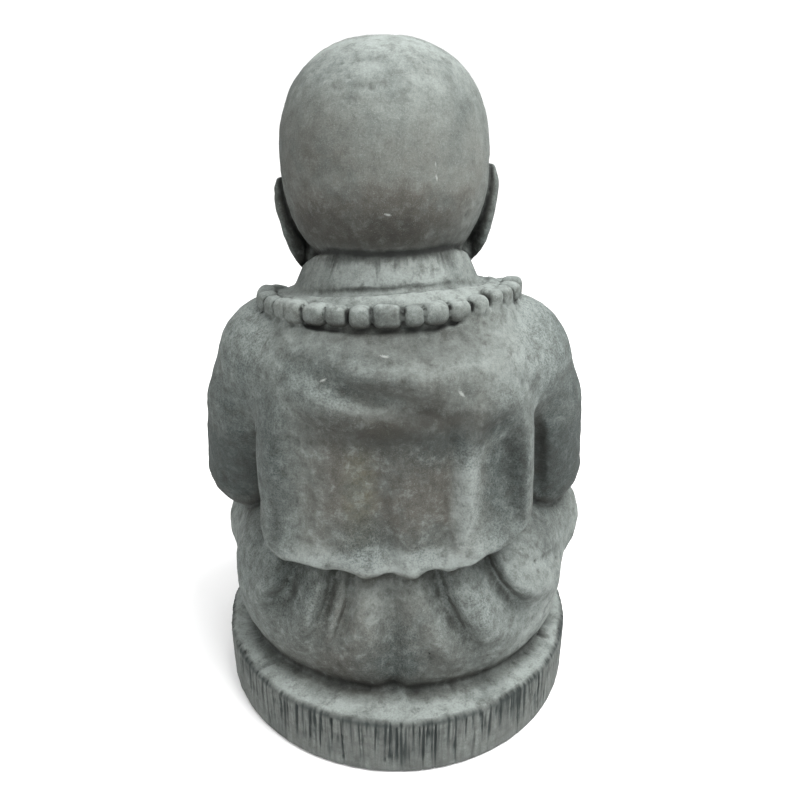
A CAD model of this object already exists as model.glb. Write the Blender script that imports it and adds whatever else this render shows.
import math

import bpy
import numpy as np
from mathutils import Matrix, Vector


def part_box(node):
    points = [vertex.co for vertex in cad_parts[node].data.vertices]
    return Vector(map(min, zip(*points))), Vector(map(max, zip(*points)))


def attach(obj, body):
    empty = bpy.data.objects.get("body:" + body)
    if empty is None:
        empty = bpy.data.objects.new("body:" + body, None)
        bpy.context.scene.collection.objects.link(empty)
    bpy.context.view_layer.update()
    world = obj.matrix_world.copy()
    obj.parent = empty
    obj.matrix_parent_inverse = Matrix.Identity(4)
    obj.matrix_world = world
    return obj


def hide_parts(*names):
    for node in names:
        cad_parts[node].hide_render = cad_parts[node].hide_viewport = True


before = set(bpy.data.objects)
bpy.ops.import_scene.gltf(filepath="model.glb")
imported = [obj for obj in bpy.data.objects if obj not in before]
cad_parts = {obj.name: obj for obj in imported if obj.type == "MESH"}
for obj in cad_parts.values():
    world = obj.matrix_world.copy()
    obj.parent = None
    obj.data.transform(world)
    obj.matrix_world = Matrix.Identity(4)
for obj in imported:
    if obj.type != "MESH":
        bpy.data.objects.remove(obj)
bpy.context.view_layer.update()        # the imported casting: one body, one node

import openvdb
from mathutils import Vector, kdtree, noise

castingNode = "cement_buddha_statue"
lowCorner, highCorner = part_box(castingNode)

# the plinth and the figure, in metres; everything carved is counted in parts of the figure's height
plinth = {
    "radius": 0.173, "height": 0.060, "topRound": 0.007, "footRound": 0.004,
    "turns": 1620, "wallRows": 12, "roundRows": 3,
    "scratchPitch": 0.0023, "scratchDepth": 0.0024, "scratchWidth": 0.0009, "seed": 11,
}
statue = {
    "partsToTheCrown": 536, "offset": 0.002, "sink": 4,
    "gridStep": 1.9, "block": 8, "reach": 1.9, "mostFaces": 194000,
}
part = (highCorner[2] - plinth["height"]) / statue["partsToTheCrown"]


def mix(a, b, share):
    return a + (b - a) * share


def blend(a, b, width):        # joins two distances with a rounded valley
    share = np.maximum(width - np.abs(a - b), 0) / width
    return np.minimum(a, b) - share * share * width * 0.25


def common(a, b, width):       # what two distances share, with a rounded edge
    return -blend(-a, -b, width)


def carve(a, b, width):        # the second form taken out of the first
    return -blend(-a, b, width)


def ellipsoid(x, y, z, centre, radii):
    px, py, pz = [(p - c) / r for p, c, r in zip((x, y, z), centre, radii)]
    scaled = np.sqrt(px * px + py * py + pz * pz)
    slope = np.sqrt((px / radii[0]) ** 2 + (py / radii[1]) ** 2 + (pz / radii[2]) ** 2)
    return scaled * (scaled - 1) / np.maximum(slope, 1e-6)


def dome(x, y, z, centre, radii, power):     # round from above, fuller than a ball from the side
    px, py, pz = [(p - c) / r for p, c, r in zip((x, y, z), centre, radii)]
    reach = ((px * px + py * py) ** (power / 2) + np.abs(pz) ** power) ** (1 / power)
    return (reach - 1) * min(radii)


def limb(x, y, z, start, end, startRadius, endRadius):
    ax, ay, az = [e - s for s, e in zip(start, end)]
    px, py, pz = x - start[0], y - start[1], z - start[2]
    along = np.clip((px * ax + py * ay + pz * az) / (ax * ax + ay * ay + az * az), 0, 1)
    away = np.sqrt((px - ax * along) ** 2 + (py - ay * along) ** 2 + (pz - az * along) ** 2)
    return away - mix(startRadius, endRadius, along)


def cord(x, y, z, points):     # limbs through points written as (x, y, z, radius)
    runs = [limb(x, y, z, a[:3], b[:3], a[3], b[3]) for a, b in zip(points, points[1:])]
    return np.minimum.reduce(runs)


def curve(pairs):              # a smooth curve through (place, value) pairs, as a table
    places = np.array([p for p, v in pairs], float)
    values = np.array([v for p, v in pairs], float)
    last = len(pairs) - 1
    before = np.maximum(np.arange(last + 1) - 1, 0)
    after = np.minimum(np.arange(last + 1) + 1, last)
    slopes = (values[after] - values[before]) / (places[after] - places[before])
    table = np.arange(places[0], places[-1] + 1.0)
    at = np.clip(np.searchsorted(places, table), 1, last)
    span = places[at] - places[at - 1]
    t = (table - places[at - 1]) / span
    bow = t * (1 - t) * ((1 - t) * slopes[at - 1] - t * slopes[at]) * span
    heights = mix(values[at - 1], values[at], t * t * (3 - 2 * t)) + bow
    return lambda place: np.interp(place, table, heights)


def lofted(x, y, z, form, bottom, top):
    halfWidth, back, front = form["halfWidth"](z), form["back"](z), form["front"](z)
    halfDepth = (back - front) / 2
    across = np.abs(x) / halfWidth
    through = np.abs(y - (back + front) / 2) / halfDepth
    power = form["squareness"](z)
    reach = (across ** power + through ** power) ** (1 / power)
    side = (reach - 1) * np.minimum(halfWidth, halfDepth)
    return common(side, np.maximum(bottom - z, z - top), form["rounding"])


def relief(strokes, x, z):     # drapery strokes: points are (x, z, half width, height)
    lift = np.zeros(x.shape)
    for points in strokes:
        rows = np.array(points, float)
        pad = 2 * rows[:, 2].max()
        near = (x > rows[:, 0].min() - pad) & (x < rows[:, 0].max() + pad)
        near &= (z > rows[:, 1].min() - pad) & (z < rows[:, 1].max() + pad)
        if not near.any():
            continue
        px, pz = x[near], z[near]
        nearest = np.full(px.shape, 2.0)
        height = np.zeros(px.shape)
        for (x0, z0, w0, h0), (x1, z1, w1, h1) in zip(points, points[1:]):
            ax, az = x1 - x0, z1 - z0
            along = np.clip(((px - x0) * ax + (pz - z0) * az) / (ax * ax + az * az), 0, 1)
            away = np.hypot(px - x0 - ax * along, pz - z0 - az * along) / mix(w0, w1, along)
            closer = away < nearest
            nearest = np.where(closer, away, nearest)
            height = np.where(closer, mix(h0, h1, along), height)
        lift[near] += height * (1 - (nearest / 2) ** 2) ** 2
    return lift


# the skirt behind and the mass of the folded legs
skirt = {
    "rounding": 40, "bottom": -20, "top": 137, "shift": -3,
    "squareness": curve([(-20, 2), (20, 2), (110, 2.3), (150, 2.3)]),
    "halfWidth": curve([(-20, 146), (0, 151), (30, 161), (70, 161), (110, 148), (150, 128)]),
    "back": curve([(-20, 128), (0, 135), (25, 142), (60, 139), (90, 131), (115, 121), (150, 108)]),
    "front": curve([(-20, -124), (0, -128), (30, -132), (70, -120), (110, -100), (150, -84)]),
    "leftLeg": [(70, 30, 58, 54), (124, -54, 60, 54), (30, -116, 38, 42)],
    "rightLeg": [(-76, 28, 66, 59), (-138, -44, 74, 55), (-34, -120, 44, 44)],
}


def lowerBody(x, y, z):
    legs = blend(cord(x, y, z, skirt["leftLeg"]), cord(x, y, z, skirt["rightLeg"]), 18)
    return blend(lofted(x - skirt["shift"], y, z, skirt, skirt["bottom"], skirt["top"]), legs, 18)


# the jacket hangs over the skirt behind, down to an uneven hem
jacket = {
    "rounding": 12, "top": 350, "foot": 100, "hemRound": 9,
    "squareness": curve([(100, 4), (230, 3.6), (290, 2.6), (360, 2.3)]),
    "halfWidth": curve([(100, 120), (150, 119), (240, 120), (290, 115), (320, 106), (340, 99), (355, 92)]),
    "back": curve([(100, 131), (150, 132), (200, 131), (250, 132), (285, 134), (304, 131), (320, 120),
                   (337, 103), (352, 97), (362, 90)]),
    "front": curve([(100, -92), (160, -94), (210, -88), (260, -80), (310, -68), (360, -50)]),
    "hem": curve([(-140, 176), (-123, 164), (-110, 157), (-97, 148), (-71, 143), (-54, 139), (-42, 134),
                  (-21, 128), (-4, 127), (10, 128), (25, 126), (38, 129), (50, 133), (63, 135), (80, 134),
                  (98, 134), (110, 138), (120, 152), (140, 176)]),
    "shelfRise": 10, "shelfInner": 76, "shelfOuter": 108, "underside": (40, 95),
}
arm = {
    "bones": [(99, 12, 276, 56), (119.5, -4, 225, 55), (137, -25, 150, 48), (68, -94, 142, 37)],
    "shift": 1, "join": curve([(100, 6), (225, 6), (285, 43), (312, 35), (335, 9), (360, 6)]),
}


clefts = [                     # the dark gaps between the arms and the jacket
    [(-119, 74, 248, 3), (-124, 54, 222, 8), (-127, 44, 195, 9), (-132, 34, 165, 8), (-139, 24, 138, 3)],
    [(112, 84, 240, 1), (120, 62, 214, 4), (123, 50, 186, 5), (128, 36, 156, 4)],
]
hemRoll = {"height": 4.5, "above": 8, "width": 10}


def shelfTop(x, y):            # the shoulders between the bead string and the collar
    out = np.hypot(x - 5, y)
    rise = np.clip((jacket["shelfOuter"] - out) / (jacket["shelfOuter"] - jacket["shelfInner"]), 0, 1)
    top = jacket["top"] - x * x / 900 - 0.03 * x - 0.3 * np.maximum(-y, 0)
    return top + jacket["shelfRise"] * rise * np.clip(y / 60, 0, 1)


def upperBody(x, y, z):
    top = shelfTop(x, y)
    start, end = jacket["underside"]
    bottom = mix(jacket["foot"], jacket["hem"](x), np.clip((y - start) / (end - start), 0, 1))
    d = common(lofted(x, y, z, jacket, 60, top), bottom - z, jacket["hemRound"])
    sleeve = cord(np.abs(x - arm["shift"]), y, z, arm["bones"])
    return blend(d, sleeve, arm["join"](z))


backFolds = [
    [(6, 190, 5, -0.5), (5, 168, 6, -1.8), (4, 148, 6, -2.5), (3, 136, 6, -2)],
    [(31, 172, 6, -0.5), (27, 154, 6, -1.6), (25, 140, 6, -1.6)],
    [(-22, 168, 5, -0.4), (-20, 152, 6, -1.4), (-19, 140, 6, -1.4)],
    # the swag below the shoulders: a ridge, the deep valley under it and the roll that follows
    [(78, 314, 9, 1), (48, 310, 11, 4), (26, 305, 11, 6), (4, 301, 11, 6), (-15, 296, 11, 4), (-34, 288, 9, 1)],
    [(80, 307, 7, -1), (56, 301, 8, -5), (37, 296, 8, -7), (18, 291, 9, -8), (-4, 287, 10, -9), (-23, 280, 9, -8),
     (-40, 277, 8, -2)],
    [(88, 290, 9, 1), (67, 286, 11, 5), (48, 279, 12, 7), (34, 273, 12, 7), (15, 268, 12, 6), (-11, 267, 11, 5),
     (-38, 270, 9, 1)],
    [(0, 322, 8, -1), (-26, 322, 9, -3.5), (-56, 322, 9, -3.5), (-88, 325, 9, -2), (-106, 329, 8, -1)],
    [(-14, 310, 10, 1), (-40, 310, 10, 3), (-70, 312, 10, 3), (-94, 314, 9, 1)],
    # long folds of the jacket
    [(-98, 276, 8, 1), (-80, 274, 8, 3), (-66, 268, 8, 5), (-58, 254, 8, 6), (-56, 227, 9, 6), (-57, 194, 9, 6),
     (-61, 165, 9, 5), (-64, 146, 8, 3)],
    [(-50, 270, 6, -1), (-46, 250, 7, -5), (-46, 223, 8, -6), (-47, 195, 8, -5), (-46, 171, 7, -2)],
    [(-78, 276, 9, 0), (-82, 260, 12, -5), (-84, 236, 15, -10), (-86, 206, 15, -10), (-86, 184, 14, -5),
     (-86, 168, 12, 0)],
    [(-102, 246, 7, 0), (-106, 230, 7, 3), (-107, 205, 8, 5), (-110, 180, 8, 5), (-112, 168, 7, 2)],
    [(12, 266, 5, -1), (12, 237, 6, -3), (12, 200, 6, -3.5), (10, 172, 6, -3.5), (8, 142, 6, -3)],
    [(74, 274, 8, -1), (77, 234, 11, -4), (81, 195, 11, -5), (86, 160, 9, -3)],
    [(98, 262, 8, 1), (104, 223, 9, 3), (108, 184, 9, 3), (106, 152, 8, 2)],
    [(46, 262, 10, 1), (50, 225, 13, 3), (48, 185, 13, 3.5), (44, 158, 10, 3)],
    [(27, 184, 6, -1), (24, 174, 8, -3.5), (22, 160, 6, -2)],
    [(36, 152, 9, 4), (22, 146, 9, 4)],
    [(-14, 200, 8, 1), (-12, 172, 9, 3), (-16, 148, 10, 5), (-22, 140, 9, 3)],
    [(-36, 172, 5, -3), (-42, 156, 5, -4)],
    [(-22, 241, 7, 2), (-36, 247, 6, 2)],
    # pleats of the skirt, fanning out from under the hem
    [(97, 120, 10, 3), (108, 97, 11, 11), (120, 74, 11, 8), (132, 46, 9, 1)],
    [(82, 122, 9, -4), (94, 94, 10, -13), (106, 75, 10, -11), (119, 54, 9, -2)],
    [(62, 124, 9, 5), (69, 97, 10, 11), (79, 70, 10, 10), (87, 43, 9, 3)],
    [(52, 122, 5, -5), (56, 99, 6, -10), (64, 77, 7, -8), (72, 50, 6, -2)],
    [(45, 120, 5, 4), (49, 93, 5, 7), (56, 71, 5, 6), (61, 46, 5, 1)],
    [(37, 120, 5, -4), (41, 90, 6, -8), (48, 64, 6, -6), (52, 46, 5, -1)],
    [(22, 118, 12, 3), (25, 87, 13, 7), (29, 61, 13, 6), (30, 38, 11, 2)],
    [(6, 120, 6, -3), (4, 86, 7, -7), (3, 47, 8, -8), (2, 6, 7, -5)],
    [(-14, 122, 9, 4), (-25, 91, 10, 8), (-37, 66, 10, 8), (-50, 40, 9, 3)],
    [(-30, 126, 7, -5), (-39, 96, 8, -11), (-50, 72, 8, -11), (-66, 47, 8, -3)],
    [(-54, 128, 12, 5), (-66, 97, 14, 10), (-83, 69, 13, 10), (-95, 44, 10, 3)],
    [(-72, 126, 7, -6), (-88, 94, 9, -13), (-103, 70, 9, -11), (-118, 50, 8, -2)],
    [(-90, 126, 8, 4), (-107, 107, 10, 9), (-125, 90, 10, 9), (-146, 74, 9, 3)],
    [(-97, 130, 5, -3), (-111, 111, 5, -6), (-127, 99, 5, -6), (-150, 88, 5, -3)],
]
frontFolds = [
    # the crossed collar of the robe and the folds of its breast
    [(82, 344, 9, 3), (66, 318, 9, 5), (34, 276, 9, 5.5), (6, 242, 9, 5.5), (-30, 200, 9, 5), (-44, 178, 8, 3)],
    [(-82, 348, 9, 3), (-66, 318, 9, 5), (-36, 276, 9, 5.5), (-12, 252, 8, 3)],
    [(60, 296, 5, -1), (24, 246, 5, -3), (-14, 202, 5, -3)],
    [(84, 250, 8, 1), (50, 214, 9, 3), (14, 190, 9, 2)],
    [(-84, 250, 8, 1), (-66, 220, 9, 3), (-52, 196, 9, 2)],
    # the cloth over the shins
    [(96, 92, 7, -1), (50, 72, 8, -5), (0, 66, 8, -6), (-50, 72, 8, -5), (-100, 92, 7, -1)],
    [(104, 66, 8, 1), (54, 48, 9, 4), (0, 43, 9, 5), (-54, 48, 9, 4), (-108, 66, 8, 1)],
    [(106, 40, 6, -1), (56, 27, 7, -4), (0, 22, 7, -5), (-56, 27, 7, -4), (-112, 40, 6, -1)],
    [(60, 118, 6, -1), (30, 98, 7, -4), (-20, 96, 7, -4), (-62, 114, 6, -1)],
]
neck = [(2, 4, 300, 60), (2, 0, 400, 58)]
collarBand = {
    "middle": 8, "brimAcross": 71, "brimDeep": 67, "brimHeight": 391, "fall": 66, "tilt": 0.06,
    "slope": 2.3, "round": 3, "crease": 2.6, "creaseReach": 82,
}


def collar(x, y, z):
    cx = x - collarBand["middle"]
    outwards = np.sqrt((cx * collarBand["brimDeep"] / collarBand["brimAcross"]) ** 2 + y * y) + 1e-6
    towardsChest = (1 - y / outwards) / 2
    above = z + collarBand["fall"] * towardsChest + collarBand["tilt"] * cx - collarBand["brimHeight"]
    side = (outwards - collarBand["brimDeep"] + above / collarBand["slope"]) * 0.85
    return common(common(side, above, collarBand["round"]), -60 - above, 10)


def collarCrease(x, y, z):     # the groove where the band meets the shoulders
    cx = (x - collarBand["middle"]) * collarBand["brimDeep"] / collarBand["brimAcross"]
    away = np.hypot(cx, y) - collarBand["creaseReach"]
    return np.hypot(away, z - shelfTop(x, y)) - collarBand["crease"] * np.clip((y + 20) / 60, -1, 1)


# the head leans a little to the figure's left; the face is calm, with closed eyes
head = {
    "pivot": (5, 350), "lean": math.radians(2),
    "skull": ((0, -7, 443), (85.5, 92, 93)), "skullPower": 2.35, "jaw": ((0, -28, 394), (68, 64, 50)),
    "cheek": ((40, -64, 388), (30, 28, 30)), "chin": ((0, -77, 362), (20, 15, 14)),
    "eyeHollow": ((31, -113, 436), (25, 19, 15)), "eyelid": ((31, -84, 428), (18, 12.5, 10.5)),
    "nostril": ((8, -98, 407), (6, 7, 5.5)),
    "brow": [(12, -97, 451, 2.5), (32, -92.5, 458, 3), (50, -71, 454, 1)],
    "nose": [(0, -95, 444, 4.5), (0, -99, 424, 6), (0, -101.5, 411, 8.2)],
    "upperLip": [(0, -94, 388.5, 4.6), (7, -93.5, 390, 4.4), (16, -86, 387.5, 2.6)],
    "lowerLip": [(0, -92.5, 381.5, 5.4), (8, -91, 382.5, 4.6), (14, -85.5, 385, 2.6)],
    "lines": [                 # below the eyelids and between the lips
        [(14, 425, 1.6, -0.8), (24, 421, 2, -1.9), (34, 420, 2.1, -2), (47, 424.5, 1.6, -0.8)],
        [(-1, 385.6, 2, -2), (9, 385.4, 2, -2), (18, 387.6, 1.6, -0.8)],
    ],
}
ear = {"centre": (80, -9, 392), "radii": (8, 21, 40), "lean": math.radians(13), "flare": math.radians(16),
       "bowl": ((8, -2, 4), (7, 13, 22)), "rightLift": 5, "web": ((64, -10, 363), (9, 14, 14))}


def earForm(x, y, z):
    px, py, pz = x - ear["centre"][0], y - ear["centre"][1], z - ear["centre"][2]
    qx = px * math.cos(ear["lean"]) - pz * math.sin(ear["lean"])
    qz = px * math.sin(ear["lean"]) + pz * math.cos(ear["lean"])
    rx = qx * math.cos(ear["flare"]) - py * math.sin(ear["flare"])
    ry = qx * math.sin(ear["flare"]) + py * math.cos(ear["flare"])
    plate = ellipsoid(rx, ry, qz, (0, 0, 0), ear["radii"])
    return carve(plate, ellipsoid(rx, ry, qz, *ear["bowl"]), 3)


def face(x, y, z, skin):
    sx = np.abs(x)
    d = blend(skin, ellipsoid(sx, y, z, *head["cheek"]), 16)
    d = carve(d, ellipsoid(sx, y, z, *head["eyeHollow"]), 18)
    d = blend(d, cord(sx, y, z, head["brow"]), 12)
    d = blend(d, ellipsoid(sx, y, z, *head["eyelid"]), 4)
    d = blend(d, ellipsoid(x, y, z, *head["chin"]), 16)
    d = blend(d, cord(x, y, z, head["nose"]), 12)
    d = blend(d, ellipsoid(sx, y, z, *head["nostril"]), 4)
    d = blend(d, np.minimum(cord(sx, y, z, head["upperLip"]), cord(sx, y, z, head["lowerLip"])), 6)
    near = (np.abs(d) < 12) & (z > 375) & (z < 435)
    d[near] -= relief(head["lines"], sx[near], z[near])
    return d


def headForm(x, y, z):
    turnedX, turnedZ = x - head["pivot"][0], z - head["pivot"][1]
    hx = turnedX * math.cos(head["lean"]) - turnedZ * math.sin(head["lean"])
    hz = turnedX * math.sin(head["lean"]) + turnedZ * math.cos(head["lean"]) + head["pivot"][1]
    d = dome(hx, y, hz, *head["skull"], head["skullPower"])
    d = blend(d, ellipsoid(hx, y, hz, *head["jaw"]), 16)
    front = y < -40
    d[front] = face(hx[front], y[front], hz[front], d[front])
    d = blend(d, ellipsoid(np.abs(hx), y, hz, *ear["web"]), 6)
    return blend(d, earForm(np.abs(hx), y, hz - ear["rightLift"] * (hx < 0)), 3)


# the hands rest in the lap, one in the other, with the thumbs meeting
hand = {
    "palm": ((24, -107, 137), (34, 29, 17)), "fingers": 4, "apart": (0, 11, 2),
    "lower": ((24, -125, 129, 8.5), (-27, -126, 128, 7.5)), "upper": ((-24, -121, 139, 8.5), (26, -123, 138, 7.8)),
    "thumb": [(38, -104, 152, 9), (20, -114, 157, 8), (3, -117, 158.5, 7)],
}


def hands(x, y, z):
    sx = np.abs(x)
    d = ellipsoid(sx, y, z, *hand["palm"])
    for i in range(hand["fingers"]):
        px, py, pz = [p - i * step for p, step in zip((x, y, z), hand["apart"])]
        fingers = [limb(px, py, pz, a[:3], b[:3], a[3], b[3]) for a, b in (hand["lower"], hand["upper"])]
        d = blend(d, blend(*fingers, 2), 2.5)
    return blend(d, cord(sx, y, z, hand["thumb"]), 2.5)


def onlyWhere(mask, d, join, width, form, x, y, z):
    if mask.any():
        d[mask] = join(d[mask], form(x[mask], y[mask], z[mask]), width)


def body(x, y, z):             # everything but the beads
    d = np.full(x.shape, 1e3)
    onlyWhere(z < 230, d, blend, 1, lowerBody, x, y, z)
    onlyWhere(z < 420, d, blend, 4, upperBody, x, y, z)
    near = (z < 420) & (np.abs(d) < 40)
    if near.any():
        rise = (z[near] - jacket["hem"](x[near]) - hemRoll["above"]) / hemRoll["width"]
        share = np.clip((y[near] - 50) / 40, 0, 1) * np.clip((125 - np.abs(x[near])) / 15, 0, 1)
        d[near] -= hemRoll["height"] * np.exp(-rise * rise) * share
    for folds, side in ((backFolds, 1), (frontFolds, -1)):
        facing = near & (y * side > 20)
        lift = relief(folds, x[facing], z[facing])
        d[facing] -= lift * np.clip((y[facing] * side - 20) / 40, 0, 1)
    for cleft in clefts:
        onlyWhere((z > 100) & (z < 270) & (y > 0), d, carve, 6, lambda *p: cord(*p, cleft), x, y, z)
    onlyWhere(z < 420, d, blend, 6, lambda *p: cord(*p, neck), x, y, z)
    onlyWhere(z < 420, d, blend, 2, collar, x, y, z)
    onlyWhere((z > 320) & (z < 380) & (y > -30), d, carve, 3, collarCrease, x, y, z)
    onlyWhere(z > 300, d, blend, 2, headForm, x, y, z)
    onlyWhere((z < 230) & (y < -50), d, blend, 3, hands, x, y, z)
    return d


# the bead string lies on the shoulders behind and on the chest in front
beads = {
    "along": 9.5, "outwards": 8.7, "upright": 9.0, "round": 6.4, "pitch": 19, "middle": (6, 4),
    "across": 105, "behind": 100, "napeHeight": 345, "chestHeight": 236, "proud": 3, "sunkInFront": 5,
    "seed": 5, "undercut": (3, 9.5, 1.8),
}


def beadPath(turns):
    x = np.sin(turns) * beads["across"]
    behind = np.cos(turns)
    side = beads["napeHeight"] - 0.04 * x - 9.5 * (x / beads["across"]) ** 4
    front = mix(side, beads["chestHeight"], behind * behind) - beads["sunkInFront"] * np.clip(behind * -4, 0, 1)
    z = np.where(behind > 0, side, front)
    x = x + beads["middle"][0]
    outside = np.full(turns.shape, -170.0)
    inside = np.full(turns.shape, float(beads["middle"][1]))
    for _ in range(13):
        y = (inside + outside) / 2
        clear = body(x, y, z) > 0
        outside = np.where(clear, y, outside)
        inside = np.where(clear, inside, y)
    chest = mix(beads["middle"][1], outside - beads["proud"], np.clip(behind * -4, 0, 1))
    return np.stack([x, np.where(behind > 0, beads["middle"][1] + behind * beads["behind"], chest), z], 1)


def placeBeads():
    path = beadPath(np.linspace(0, 2 * math.pi, 361))
    lengths = np.concatenate([[0], np.cumsum(np.linalg.norm(np.diff(path, axis=0), axis=1))])
    count = round(lengths[-1] / beads["pitch"])
    wanted = np.arange(count) / count * lengths[-1]
    centres = np.stack([np.interp(wanted, lengths, path[:, i]) for i in range(3)], 1)
    ahead = np.stack([np.interp(wanted + 1, lengths, path[:, i]) for i in range(3)], 1)
    along = ahead - centres
    return centres, along / np.linalg.norm(along, axis=1)[:, None]


def beadFrames():              # the way along the string, outwards and up, for each bead
    out = beadCentres - [beads["middle"][0], beads["middle"][1], 0]
    out[:, 2] = 0
    out -= beadWays * (out * beadWays).sum(1)[:, None]
    out /= np.linalg.norm(out, axis=1)[:, None]
    return np.stack([beadWays, out, np.cross(beadWays, out)], 1)


beadCentres, beadWays = placeBeads()
beadTurns = beadFrames()
beadDraw = np.random.default_rng(beads["seed"])
beadSizes = beadDraw.uniform(0.86, 1.08, (len(beadCentres), 3))
beadCentres += beadDraw.uniform(-1.1, 1.1, beadCentres.shape)
beadSizes[0] = (1.2, 0.7, 1.05)               # the one at the nape is the largest, and worn flat
beadCentres[[1, -1]] += [[1, 0, 0], [-1, 0, 0]]


def beadUndercut(x, y, z):     # the dark groove below the string, behind only
    x = x - beads["middle"][0]
    out = np.hypot(x / beads["across"], (y - beads["middle"][1]) / beads["behind"])
    height = beads["napeHeight"] - 0.04 * x - 9.5 * (x / beads["across"]) ** 4
    away = (out - 1) * beads["behind"] - beads["undercut"][0]
    depth = beads["undercut"][2] * np.clip(1.3 - (x / 60) ** 2, -1, 1)
    return np.hypot(away, z - height + beads["undercut"][1]) - depth


def beadString(x, y, z):       # rounded cubes, a little uneven
    nearest = np.full(x.shape, 60.0)
    half = np.array([beads["along"], beads["outwards"], beads["upright"]])
    for centre, turn, size in zip(beadCentres, beadTurns, beadSizes):
        near = (np.abs(x - centre[0]) < 45) & (np.abs(y - centre[1]) < 45) & (np.abs(z - centre[2]) < 45)
        if not near.any():
            continue
        away = np.stack([x[near] - centre[0], y[near] - centre[1], z[near] - centre[2]])
        over = np.abs(turn @ away) - (half * size - beads["round"])[:, None]
        box = np.sqrt((np.maximum(over, 0) ** 2).sum(0)) + np.minimum(over.max(0), 0) - beads["round"]
        nearest[near] = np.minimum(nearest[near], box)
    return nearest


def plinthTop(x, y, z):        # lets the skirt run softly into the plinth
    return np.maximum(np.hypot(x + statue["offset"] / part, y) - 150, z + 0.5)


def figure(x, y, z):
    d = body(x, y, z)
    onlyWhere((z > 300) & (z < 370) & (y > 0) & (np.abs(d) < 20), d, carve, 5, beadUndercut, x, y, z)
    onlyWhere(z < 20, d, blend, 9, plinthTop, x, y, z)
    onlyWhere((z > 190) & (z < 400) & (np.abs(d) < 60), d, blend, 1.6, beadString, x, y, z)
    return np.maximum(d, -statue["sink"] - z)


def inChunks(form, points, size=250000):
    chunks = [form(*points[i:i + size].T.astype(float)) for i in range(0, len(points), size)]
    return np.concatenate(chunks)


def carveSurface(form, low, high, step, block):
    blocks = np.ceil((np.array(high) - low) / (step * block)).astype(int)
    corners = np.stack(np.meshgrid(*[np.arange(n) for n in blocks], indexing="ij"), -1).reshape(-1, 3)
    middles = np.array(low) + (corners + 0.5 - 0.5 / block) * step * block
    rough = inChunks(form, middles)
    inside = np.where(rough < 0, -99.0, 99.0).reshape(blocks)
    values = inside.repeat(block, 0).repeat(block, 1).repeat(block, 2).astype(np.float32)
    near = corners[np.abs(rough) < step * block * statue["reach"]] * block
    steps = np.stack(np.meshgrid(*[np.arange(block)] * 3, indexing="ij"), -1).reshape(-1, 3)
    cells = (near[:, None] + steps[None]).reshape(-1, 3)
    values[tuple(cells.T)] = inChunks(form, np.array(low) + cells * step)
    grid = openvdb.FloatGrid(step * 3)
    grid.copyFromArray(values)
    grid.transform = openvdb.createLinearTransform(voxelSize=step)
    points, quads = grid.convertToQuads(isovalue=0.0)
    return points + np.array(low), quads


def slopeOf(form, points, gap=0.4):
    parts = []
    for axis in np.eye(3):
        parts.append(inChunks(form, points + axis * gap) - inChunks(form, points - axis * gap))
    return np.stack(parts, 1) / (2 * gap)


def settle(form, points, rounds=2):    # moves each point onto the form's true surface
    for _ in range(rounds):
        slope = slopeOf(form, points)
        size = np.maximum((slope ** 2).sum(1), 0.05)
        move = slope * (inChunks(form, points) / size)[:, None]
        length = np.linalg.norm(move, axis=1)[:, None]
        points = points - move * np.minimum(1, statue["gridStep"] * 0.6 / np.maximum(length, 1e-9))
    return points


def meshObject(name, points, faces):
    mesh = bpy.data.meshes.new(name)
    mesh.from_pydata(points.tolist(), [], [tuple(face) for face in faces.tolist()])
    mesh.validate()
    mesh.polygons.foreach_set("use_smooth", [True] * len(mesh.polygons))
    made = bpy.data.objects.new(name, mesh)
    bpy.context.scene.collection.objects.link(made)
    return made


def carveFigure():
    low, high = (-206, -182, -12), (206, 174, 550)
    points, quads = carveSurface(figure, low, high, statue["gridStep"], statue["block"])
    points = settle(figure, points)
    points = points * part + np.array([statue["offset"], 0, plinth["height"]])
    return meshObject("figureCarving", points, quads)


def scratchRim(turns, heights):        # how deep the tool has cut the rim, in metres
    draw = np.random.default_rng(plinth["seed"])
    count = round(2 * math.pi * plinth["radius"] / plinth["scratchPitch"])
    depth = np.zeros((len(heights), len(turns)))
    for i in range(count):
        middle = (i + draw.uniform(-0.3, 0.3)) * 2 * math.pi / count
        slant = draw.uniform(-0.04, 0.04) / plinth["radius"]
        end = plinth["height"] * draw.uniform(-0.1, 0.7)
        cut = plinth["scratchDepth"] * draw.uniform(0.15, 1.0) ** 1.3
        width = plinth["scratchWidth"] * draw.uniform(0.7, 1.4)
        away = (turns[None] - middle - slant * heights[:, None] + math.pi) % (2 * math.pi) - math.pi
        top = plinth["height"] - draw.uniform(0.0005, 0.005)
        fade = np.clip((heights - end) / 0.028, 0, 1) * np.clip((top - heights) / 0.003, 0, 1)
        depth = np.maximum(depth, cut * fade[:, None] * np.exp(-((away * plinth["radius"] / width) ** 2)))
    return depth


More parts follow.
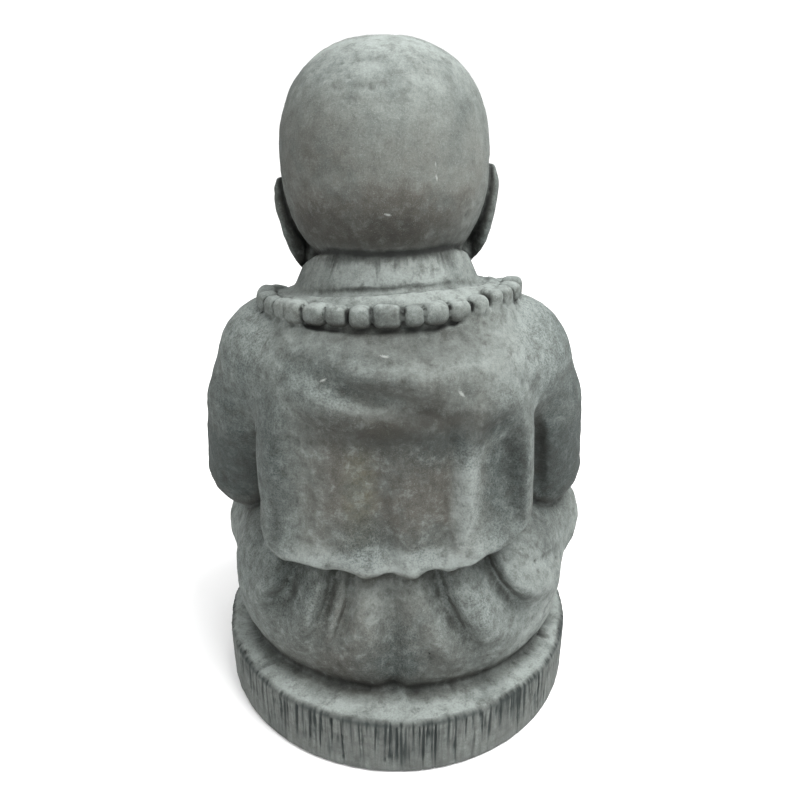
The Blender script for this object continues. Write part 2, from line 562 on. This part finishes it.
def carvePlinth():
    radius, height = plinth["radius"], plinth["height"]
    foot, brim, rows = plinth["footRound"], plinth["topRound"], plinth["roundRows"]
    footTurn = np.linspace(-math.pi / 2, 0, rows + 1)
    brimTurn = np.linspace(0, math.pi / 2, rows + 1)
    wall = np.linspace(foot, height - brim, plinth["wallRows"] + 1)[1:-1]
    rings = np.concatenate([radius - foot + foot * np.cos(footTurn), np.full(len(wall), radius),
                            radius - brim + brim * np.cos(brimTurn), [radius - 0.03]])
    heights = np.concatenate([foot + foot * np.sin(footTurn), wall,
                              height - brim + brim * np.sin(brimTurn), [height]])
    turns = np.linspace(0, 2 * math.pi, plinth["turns"], endpoint=False)
    reach = rings[:, None] - scratchRim(turns, heights)
    points = np.stack([reach * np.cos(turns), reach * np.sin(turns),
                       np.repeat(heights[:, None], len(turns), 1)], -1).reshape(-1, 3)
    points = np.concatenate([points, [[0, 0, 0], [0, 0, height]]])
    count = len(turns)
    faces = []
    for row in range(len(rings) - 1):
        a = row * count + np.arange(count)
        b = row * count + (np.arange(count) + 1) % count
        faces.append(np.stack([a, b, b + count, a + count], 1))
    made = np.concatenate(faces).tolist()
    last = (len(rings) - 1) * count
    for i in range(count):
        j = (i + 1) % count
        made.append([len(points) - 2, j, i])
        made.append([len(points) - 1, last + i, last + j])
    mesh = bpy.data.meshes.new("plinthCarving")
    mesh.from_pydata(points.tolist(), [], made)
    mesh.polygons.foreach_set("use_smooth", [True] * len(mesh.polygons))
    drum = bpy.data.objects.new("plinthCarving", mesh)
    bpy.context.scene.collection.objects.link(drum)
    return drum


def castInOne(figureObject, drum):     # joins the two and thins the mesh where it is smooth
    join = figureObject.modifiers.new("join", "BOOLEAN")
    join.operation = "UNION"
    join.solver = "MANIFOLD"
    join.object = drum
    graph = bpy.context.evaluated_depsgraph_get()
    whole = bpy.data.meshes.new_from_object(figureObject.evaluated_get(graph))
    print("joined", len(whole.polygons))
    casting = bpy.data.objects.new("cementStatue", whole)
    bpy.context.scene.collection.objects.link(casting)
    for used in (figureObject, drum):
        bpy.data.objects.remove(used)
    whole.calc_loop_triangles()
    thin = casting.modifiers.new("thin", "DECIMATE")
    thin.ratio = min(1.0, statue["mostFaces"] / len(whole.loop_triangles))
    thin.use_collapse_triangulate = True
    graph = bpy.context.evaluated_depsgraph_get()
    casting.data = bpy.data.meshes.new_from_object(casting.evaluated_get(graph))
    casting.modifiers.clear()
    casting.data.name = "cementStatue"
    casting.data.polygons.foreach_set("use_smooth", [True] * len(casting.data.polygons))
    return casting


uneven = {                     # the rough hand-cast skin: lumps as (size, height) in parts, then small pits
    "lumps": ((30, 0.8), (12, 0.6), (5.5, 0.45)), "pits": 900, "pitSize": 1.9, "pitDepth": 0.9, "seed": 3,
}


def roughen(casting):
    mesh = casting.data
    count = len(mesh.vertices)
    points, normals = meshPoints(mesh)
    move = np.zeros(count)
    for size, height in uneven["lumps"]:
        shift = Vector((size, 2 * size, 0))
        move += height * np.array([noise.noise(Vector(p) / size + shift) for p in (points / part).tolist()])
    chosen = np.random.default_rng(uneven["seed"]).choice(count, uneven["pits"], replace=False)
    tree = kdtree.KDTree(len(chosen))
    for i, point in enumerate(points[chosen].tolist()):
        tree.insert(point, i)
    tree.balance()
    away = np.array([tree.find(p)[2] for p in points.tolist()]) / part
    move -= uneven["pitDepth"] * np.exp(-((away / uneven["pitSize"]) ** 2))
    move *= np.clip((points[:, 2] - 0.001) / 0.004, 0, 1)
    points += normals * (move * part)[:, None]
    mesh.vertices.foreach_set("co", points.astype(np.float32).ravel())
    mesh.update()


def meshPoints(mesh):
    points = np.empty(len(mesh.vertices) * 3, np.float32)
    normals = np.empty(len(mesh.vertices) * 3, np.float32)
    mesh.vertices.foreach_get("co", points)
    mesh.vertex_normals.foreach_get("vector", normals)
    return points.reshape(-1, 3).astype(float), normals.reshape(-1, 3).astype(float)


def wholeForm(x, y, z):        # the figure and the plain drum, in parts
    radius = plinth["radius"] / part
    height = plinth["height"] / part
    side = np.hypot(x + statue["offset"] / part, y) - radius
    drum = np.maximum(side, np.maximum(z, -height - z))
    return np.minimum(figure(x, y, z), drum)


# where the weather has left its marks: soft patches as (place, half sizes, strength), in parts
patches = {
    "grain": [
        ((128, 30, 278), (48, 80, 56), 0.9), ((150, -10, 190), (48, 110, 85), 1.2), ((104, 105, 215), (22, 60, 80), 0.9),
        ((-138, 30, 275), (42, 80, 58), 0.9), ((-150, -10, 190), (46, 110, 85), 1.3), ((-90, 110, 208), (24, 50, 66), 1),
        ((24, 130, 160), (22, 40, 20), 0.9), ((-24, 130, 158), (16, 40, 16), 0.6), ((92, 105, 85), (40, 60, 46), 0.8),
        ((-64, 115, 75), (44, 60, 46), 0.5), ((60, 120, 300), (50, 40, 22), 0.5), ((0, 120, 45), (30, 60, 40), 0.8),
        ((-40, 120, 245), (60, 40, 16), 0.6), ((118, 60, 90), (60, 80, 60), 0.6), ((80, -10, 395), (24, 40, 60), 0.6),
        ((-80, -10, 395), (24, 40, 60), 0.6),
    ],
    "patina": [
        ((0, 128, 208), (72, 60, 84), 1.1), ((10, 60, 412), (90, 90, 32), 1.2), ((20, 110, 55), (90, 70, 60), 1),
        ((150, -10, 160), (50, 110, 50), 0.9), ((-150, -10, 160), (50, 110, 50), 0.9), ((60, 60, 430), (60, 70, 60), 0.7), ((0, 60, 440), (110, 80, 40), 0.5),
    ],
    "soot": [
        ((18, 60, 402), (84, 110, 24), 0.85), ((-12, 110, 124), (36, 30, 8), 1.5), ((152, -10, 172), (50, 120, 50), 1.4), ((-152, -10, 176), (52, 120, 58), 1.7),
        ((0, 120, 28), (90, 60, 26), 0.6), ((-20, 125, 264), (90, 40, 20), 1.2), ((4, 110, 326), (100, 40, 17), 0.9),
        ((104, 105, 225), (16, 60, 60), 0.7), ((-92, 110, 205), (18, 50, 60), 0.8), ((0, 120, 300), (80, 40, 34), 0.5),
        ((90, -10, 430), (40, 100, 90), 0.5), ((10, 128, 215), (60, 60, 60), 0.25),
        ((-140, -10, 210), (46, 120, 70), 0.9), ((140, -10, 210), (46, 120, 70), 0.7),
    ],
    "smooth": [((0, 0, 462), (120, 120, 56), 1)],
    "stain": [((28, 132, 205), (12, 30, 38), 0.8), ((10, 128, 262), (14, 30, 12), 0.4)],
    "dust": [
        ((-57, 132, 200), (10, 30, 62), 1), ((-80, 120, 152), (34, 40, 20), 0.9), ((-105, 60, 300), (50, 60, 34), 0.8),
        ((-120, 30, 105), (34, 70, 34), 0.8), ((-80, 110, 92), (30, 40, 28), 0.7), ((-4, 130, 142), (80, 34, 11), 1.5),
        ((5, 70, 368), (80, 50, 18), 0.9), ((14, 125, 95), (14, 30, 30), 0.5), ((-70, 50, 392), (26, 50, 26), 0.6), ((-40, 115, 85), (14, 30, 40), 0.6),
        ((0, 60, 84), (220, 140, 56), 0.22), ((-120, 60, 60), (60, 90, 50), 0.4),
    ],
}


def markSurface(casting):      # writes where it is hollow, dusty, stained or cut, from 0 to 1, on the points
    mesh = casting.data
    places, normals = meshPoints(mesh)
    points = (places - [statue["offset"], 0, plinth["height"]]) / part
    marks = {}
    for name, gaps in (("crease", (2.5, 5)), ("shelter", (12, 26))):
        shut = [np.clip(1 - inChunks(wholeForm, points + normals * gap) / gap, 0, 1) for gap in gaps]
        marks[name] = np.mean(shut, 0)
    for name, group in patches.items():
        strength = np.zeros(len(points))
        for place, sizes, most in group:
            away = np.sqrt((((points - place) / sizes) ** 2).sum(1))
            strength = np.maximum(strength, most * np.clip(1.5 - away, 0, 1))
        marks[name] = strength
    high = points[:, 2] > 320      # a thin dark line where the head meets the collar
    meeting = np.hypot(inChunks(headForm, points[high]), inChunks(collar, points[high]))
    marks["crease"][high] = np.maximum(marks["crease"][high], np.clip(1.1 - meeting / 5, 0, 0.75))
    rim = plinth["radius"] - np.hypot(places[:, 0], places[:, 1])
    wall = (places[:, 2] < plinth["height"] - 0.002) & (rim < 0.006)
    marks["cut"] = np.clip(rim / 0.0016, 0, 1) * wall
    marks["rim"] = np.clip((0.004 - rim) / 0.002, 0, 1) * (places[:, 2] < plinth["height"] + 0.001)
    marks["facing"] = normals[:, 2] * 0.5 + 0.5
    for name, values in marks.items():
        mark = mesh.attributes.new(name, "FLOAT", "POINT")
        mark.data.foreach_set("value", np.ascontiguousarray(values, np.float32))


print("carving the figure")
figureObject = carveFigure()
print("figure faces", len(figureObject.data.polygons))
drum = carvePlinth()
print("plinth faces", len(drum.data.polygons))
casting = castInOne(figureObject, drum)
print("casting faces", len(casting.data.polygons))
roughen(casting)
markSurface(casting)
print("weather marked")


finish = {
    "colours": {
        "cement": (0.118, 0.132, 0.123), "paleCement": (0.175, 0.192, 0.178), "patina": (0.092, 0.088, 0.076),
        "stain": (0.135, 0.130, 0.075), "dust": (0.270, 0.300, 0.285), "teal": (0.060, 0.080, 0.078),
        "darkGrain": (0.027, 0.034, 0.033), "grime": (0.029, 0.028, 0.024), "crease": (0.014, 0.015, 0.014),
        "nick": (0.34, 0.36, 0.34), "rim": (0.088, 0.092, 0.087),
    },
    "nicks": [
        ((0.010, 0.1205, 0.380), (0.98, 0, 0.2), 0.0016), ((-0.0484, 0.1290, 0.3527), (0.7, 0, 0.71), 0.0017),
        ((0.0561, 0.1228, 0.3614), (0.9, 0, -0.43), 0.0013), ((0.007, 0.0832, 0.4767), (0.97, 0, 0.24), 0.0013),
        ((-0.0275, 0.0750, 0.5120), (0.12, 0, 0.99), 0.0009), ((-0.0287, 0.0755, 0.5020), (0.25, 0, 0.97), 0.0010),
    ],
}


def makeCement():
    cement = bpy.data.materials.new("weatheredCement")
    cement.use_nodes = True
    tree = cement.node_tree
    nodes, links = tree.nodes, tree.links
    shader = nodes["Principled BSDF"]
    shader.inputs["Roughness"].default_value = 0.93
    shader.inputs["Specular IOR Level"].default_value = 0.25
    place3 = nodes.new("ShaderNodeTexCoord").outputs["Object"]

    def cloud(scale, detail=4, roughness=0.6, stretch=(1, 1, 1)):
        longer = nodes.new("ShaderNodeVectorMath")
        longer.operation = "MULTIPLY"
        longer.inputs[1].default_value = stretch
        links.new(place3, longer.inputs[0])
        made = nodes.new("ShaderNodeTexNoise")
        made.inputs["Scale"].default_value = scale
        made.inputs["Detail"].default_value = detail
        made.inputs["Roughness"].default_value = roughness
        links.new(longer.outputs["Vector"], made.inputs["Vector"])
        return made.outputs["Fac"]

    def spread(value, low, high, toLow=0.0, toHigh=1.0):
        made = nodes.new("ShaderNodeMapRange")
        made.inputs["From Min"].default_value = low
        made.inputs["From Max"].default_value = high
        made.inputs["To Min"].default_value = toLow
        made.inputs["To Max"].default_value = toHigh
        links.new(value, made.inputs["Value"])
        return made.outputs["Result"]

    def mixed(share, a, b, kind="MIX"):
        made = nodes.new("ShaderNodeMix")
        made.data_type = "RGBA"
        made.blend_type = kind
        for socket, value in ((made.inputs["Factor"], share), (made.inputs["A"], a), (made.inputs["B"], b)):
            target = socket
            if made.inputs["Factor"] != socket:
                target = made.inputs[6] if value is a else made.inputs[7]
            if isinstance(value, (int, float)):
                target.default_value = value
            elif isinstance(value, tuple):
                target.default_value = (*value, 1)
            else:
                links.new(value, target)
        return made.outputs[2]

    def sums(a, b, kind="MULTIPLY"):
        made = nodes.new("ShaderNodeMath")
        made.operation = kind
        for socket, value in zip(made.inputs, (a, b)):
            if isinstance(value, (int, float)):
                socket.default_value = value
            else:
                links.new(value, socket)
        return made.outputs[0]

    def clamped(value):
        return spread(value, 0, 1)

    def mark(name):
        made = nodes.new("ShaderNodeAttribute")
        made.attribute_name = name
        return made.outputs["Fac"]

    def nickAt(place, way, size):      # a small pale fleck, longer along one way, from 1 at its middle to 0
        away = nodes.new("ShaderNodeVectorMath")
        away.operation = "SUBTRACT"
        away.inputs[1].default_value = place
        links.new(place3, away.inputs[0])
        along = nodes.new("ShaderNodeVectorMath")
        along.operation = "DOT_PRODUCT"
        along.inputs[1].default_value = way
        links.new(away.outputs["Vector"], along.inputs[0])
        length = nodes.new("ShaderNodeVectorMath")
        length.operation = "LENGTH"
        links.new(away.outputs["Vector"], length.inputs[0])
        short = sums(sums(along.outputs["Value"], along.outputs["Value"]), 0.9)
        square = sums(sums(length.outputs["Value"], length.outputs["Value"]), short, "SUBTRACT")
        return spread(sums(square, spread(fine, 0.3, 0.7, 0.3, 2.4)), size * size, 0, 0, 0.7)

    colours = finish["colours"]
    wide, blotch, speck, fine = cloud(7, 3), cloud(34, 5, 0.7), cloud(620, 2, 0.7), cloud(1300, 2, 0.7)
    smudge = cloud(11, 6, 0.65)
    ragged = sums(spread(blotch, 0.3, 0.7, 0.45, 1.4), spread(smudge, 0.35, 0.65, 0.75, 1.2))
    colour = mixed(spread(wide, 0.38, 0.62), colours["cement"], colours["paleCement"])
    colour = mixed(spread(blotch, 0.35, 0.7, 0, 0.35), colour, colours["paleCement"])
    colour = mixed(clamped(sums(mark("patina"), ragged)), colour, colours["patina"])
    colour = mixed(clamped(sums(sums(mark("stain"), ragged), 0.5)), colour, colours["stain"])
    upwards = spread(mark("facing"), 0.72, 1.0)
    clean = spread(mark("soot"), 0, 1.2, 1, 0.3)
    dust = sums(sums(sums(upwards, mark("dust"), "MAXIMUM"), ragged), clean)
    dust = sums(dust, spread(mark("shelter"), 0.85, 0.4))
    colour = mixed(sums(clamped(sums(mark("soot"), ragged)), 0.84), colour, colours["grime"])
    colour = mixed(sums(clamped(dust), 0.75), colour, colours["dust"])
    grain = clamped(sums(mark("grain"), ragged))
    colour = mixed(sums(grain, 0.45), colour, colours["teal"])
    colour = mixed(spread(blotch, 0.5, 0.3, 0, 0.35), colour, colours["darkGrain"])
    specks = sums(spread(speck, 0.44, 0.62), spread(grain, 0, 1, 0.2, 0.8))
    colour = mixed(specks, colour, colours["darkGrain"])
    colour = mixed(sums(sums(spread(fine, 0.56, 0.72), 0.45), clean), colour, colours["dust"])
    shade = sums(spread(mark("shelter"), 0.3, 0.9, 0, 0.65), spread(upwards, 0, 1, 1, 0.1))
    colour = mixed(shade, colour, colours["grime"])
    mottle = cloud(95, 4, 0.75)
    rough = spread(mark("smooth"), 0, 1, 1, 0.3)
    colour = mixed(sums(spread(mottle, 0.5, 0.28, 0, 0.65), rough), colour, colours["grime"])
    colour = mixed(sums(sums(spread(mottle, 0.53, 0.75, 0, 0.55), clean), rough), colour, colours["dust"])
    colour = mixed(spread(mark("facing"), 0.42, 0.05, 0, 0.7), colour, colours["grime"])
    colour = mixed(spread(mark("crease"), 0.2, 0.75, 0, 0.92), colour, colours["crease"])
    streaks = spread(cloud(230, 3, 0.7, (1, 1, 0.08)), 0.36, 0.66, 0.25, 0.85)
    colour = mixed(sums(mark("rim"), streaks), colour, colours["rim"])
    colour = mixed(sums(mark("cut"), 0.9), colour, colours["darkGrain"])
    for place, way, size in finish["nicks"]:
        colour = mixed(nickAt(place, way, size), colour, colours["nick"])
    links.new(colour, shader.inputs["Base Color"])
    bump = nodes.new("ShaderNodeBump")
    bump.inputs["Strength"].default_value = 0.7
    bump.inputs["Distance"].default_value = 0.0012
    height = sums(cloud(420, 6, 0.8), sums(cloud(80, 4, 0.6), 1.6), "ADD")
    links.new(height, bump.inputs["Height"])
    links.new(bump.outputs["Normal"], shader.inputs["Normal"])
    return cement


casting.data.materials.clear()
casting.data.materials.append(makeCement())
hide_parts(castingNode)
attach(casting, "root")
print("cement done")

# a pale floor that curves up all round, light and camera
studio = {
    "reach": 5.0, "bend": 2.0, "top": 4.0, "turns": 96, "tone": (0.92, 0.92, 0.92),
    "keyPower": 58, "keySize": 1.1, "keyPlace": (-0.72, 0.48, 2.05), "zenith": 1.6, "horizon": 0.35,
}
view = {"distance": 0.666, "height": 0.604, "pitch": 25.5, "focal": 790 / 800 * 36, "shift": 2.5 / 800}


def makeFloor():
    bend = np.linspace(0, math.pi / 2, 25)
    outs = np.concatenate([studio["reach"] + studio["bend"] * np.sin(bend), [studio["reach"] + studio["bend"]]])
    rises = np.concatenate([studio["bend"] * (1 - np.cos(bend)), [studio["top"]]])
    turns = np.linspace(0, 2 * math.pi, studio["turns"], endpoint=False)
    rings = [np.stack([out * np.cos(turns), out * np.sin(turns), np.full(len(turns), rise)], 1)
             for out, rise in zip(outs, rises)]
    points = np.concatenate(rings + [[[0, 0, 0]]])
    count = len(turns)
    faces = [(len(points) - 1, i, (i + 1) % count) for i in range(count)]
    for row in range(len(rings) - 1):
        for i in range(count):
            j = (i + 1) % count
            faces.append((row * count + i, (row + 1) * count + i, (row + 1) * count + j, row * count + j))
    mesh = bpy.data.meshes.new("floor")
    mesh.from_pydata(points.tolist(), [], faces)
    mesh.polygons.foreach_set("use_smooth", [True] * len(faces))
    floor = bpy.data.objects.new("floor", mesh)
    bpy.context.scene.collection.objects.link(floor)
    paint = bpy.data.materials.new("palePaint")
    paint.use_nodes = True
    paint.node_tree.nodes["Principled BSDF"].inputs["Base Color"].default_value = (*studio["tone"], 1)
    paint.node_tree.nodes["Principled BSDF"].inputs["Roughness"].default_value = 0.95
    paint.node_tree.nodes["Principled BSDF"].inputs["Specular IOR Level"].default_value = 0.1
    mesh.materials.append(paint)


def makeLight():
    lamp = bpy.data.lights.new("overhead", "AREA")
    lamp.shape = "DISK"
    lamp.size = studio["keySize"]
    lamp.energy = studio["keyPower"]
    made = bpy.data.objects.new("overhead", lamp)
    made.location = studio["keyPlace"]
    aim = np.array([0, 0, 0.3]) - studio["keyPlace"]
    flat = math.hypot(aim[0], aim[1])
    made.rotation_euler = (math.atan2(flat, -aim[2]), 0, math.atan2(-aim[0], aim[1]))
    bpy.context.scene.collection.objects.link(made)
    world = bpy.data.worlds.new("studio")
    world.use_nodes = True
    tree = world.node_tree
    place = tree.nodes.new("ShaderNodeTexCoord")
    split = tree.nodes.new("ShaderNodeSeparateXYZ")
    rise = tree.nodes.new("ShaderNodeMapRange")
    rise.inputs["From Min"].default_value = 0
    rise.inputs["From Max"].default_value = 1
    rise.inputs["To Min"].default_value = studio["horizon"]
    rise.inputs["To Max"].default_value = studio["zenith"]
    tree.links.new(place.outputs["Generated"], split.inputs["Vector"])
    tree.links.new(split.outputs["Z"], rise.inputs["Value"])
    tree.links.new(rise.outputs["Result"], tree.nodes["Background"].inputs["Strength"])
    tree.nodes["Background"].inputs["Color"].default_value = (1, 1, 1, 1)
    bpy.context.scene.world = world
    bpy.context.scene.view_settings.view_transform = "Standard"


def makeCamera():
    lens = bpy.data.cameras.new("camera")
    lens.sensor_width = 36
    lens.lens = view["focal"]
    lens.shift_x = view["shift"]
    made = bpy.data.objects.new("camera", lens)
    made.location = (0, view["distance"], view["height"])
    made.rotation_euler = (math.radians(90 - view["pitch"]), 0, math.pi)
    bpy.context.scene.collection.objects.link(made)
    bpy.context.scene.camera = made


makeFloor()
makeLight()
makeCamera()
